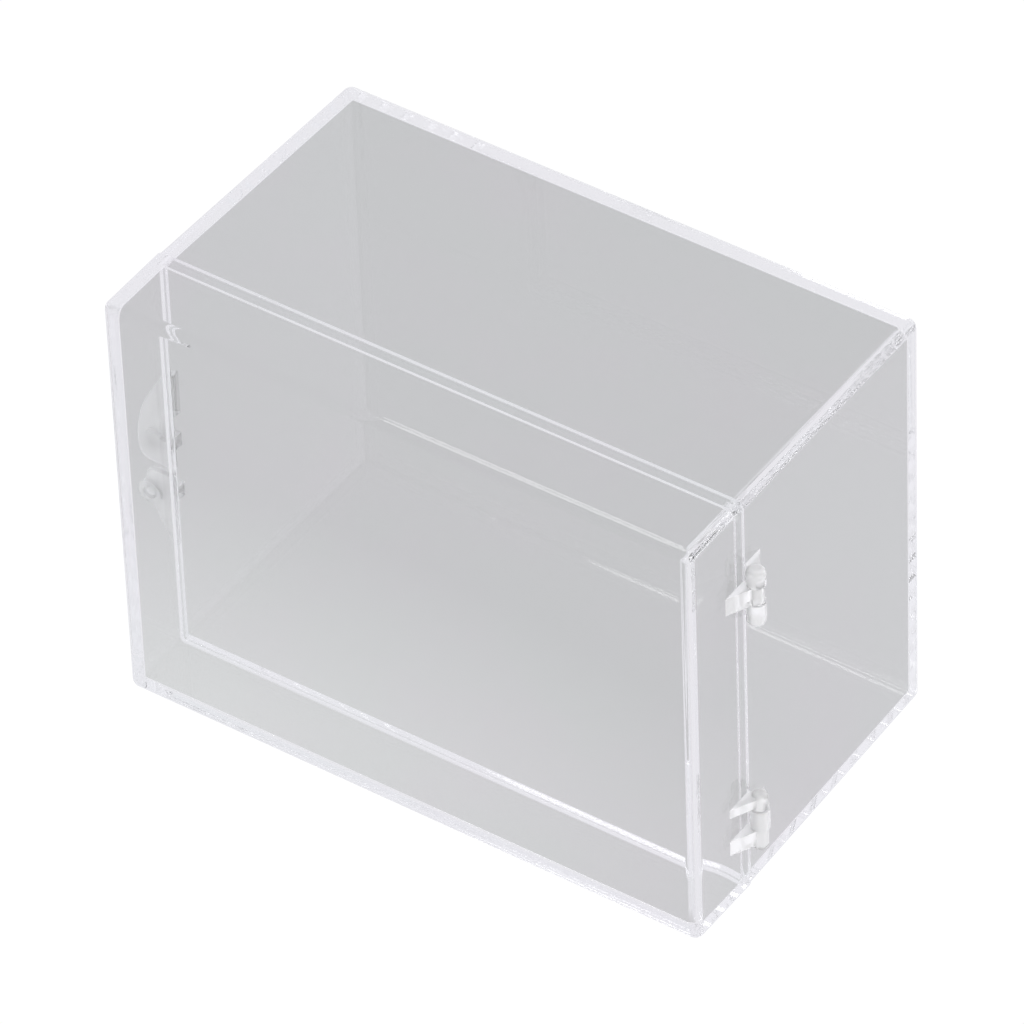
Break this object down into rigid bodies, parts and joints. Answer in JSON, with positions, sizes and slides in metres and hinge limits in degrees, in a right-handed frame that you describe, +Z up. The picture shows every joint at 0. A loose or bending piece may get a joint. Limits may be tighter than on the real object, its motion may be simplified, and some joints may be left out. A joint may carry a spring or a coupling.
{
  "type": "hinged card deck box",
  "caption": "Clear moulded plastic box for a deck of cards: a deep base tray and a shallow lid tray, joined by side hinges and closed by a snap latch with thumb tabs.",
  "frame": {"origin": "bottom centre of the bounding box, with the box standing on its long narrow side", "axes": "+X along the width towards the hinge side, +Y from the lid towards the back of the base tray, +Z up"},
  "size_m": [0.105, 0.0576, 0.0714],
  "materials": {
    "clear_plastic": "water-clear moulded polystyrene, polished"
  },
  "bodies": {
    "base": {"base_tray": "clear_plastic", "base_locating_lip": "clear_plastic", "upper_base_lug_outer": "clear_plastic", "upper_base_lug_inner": "clear_plastic", "upper_hinge_pin_outer": "clear_plastic", "upper_hinge_pin_inner": "clear_plastic", "lower_base_lug": "clear_plastic", "base_thumb_tab": "clear_plastic", "base_tab_root_rib": "clear_plastic", "base_stud_boss": "clear_plastic", "base_stud_peg": "clear_plastic", "base_stud_socket": "clear_plastic"},
    "lid": {"lid_tray": "clear_plastic", "upper_lid_arm": "clear_plastic", "lower_lid_arm_outer": "clear_plastic", "lower_lid_arm_inner": "clear_plastic", "lower_hinge_pin_outer": "clear_plastic", "lower_hinge_pin_inner": "clear_plastic", "lid_thumb_tab": "clear_plastic", "lid_stud_boss": "clear_plastic", "lid_stud_peg": "clear_plastic", "lid_stud_socket": "clear_plastic"}
  },
  "joints": [
    {"name": "lid_hinge", "type": "hinge", "parent": "base", "child": "lid", "pos_m": [0.05105, -0.0158, 0.0357], "axis": [0, 0, 1], "range_deg": [0, 195]}
  ]
}
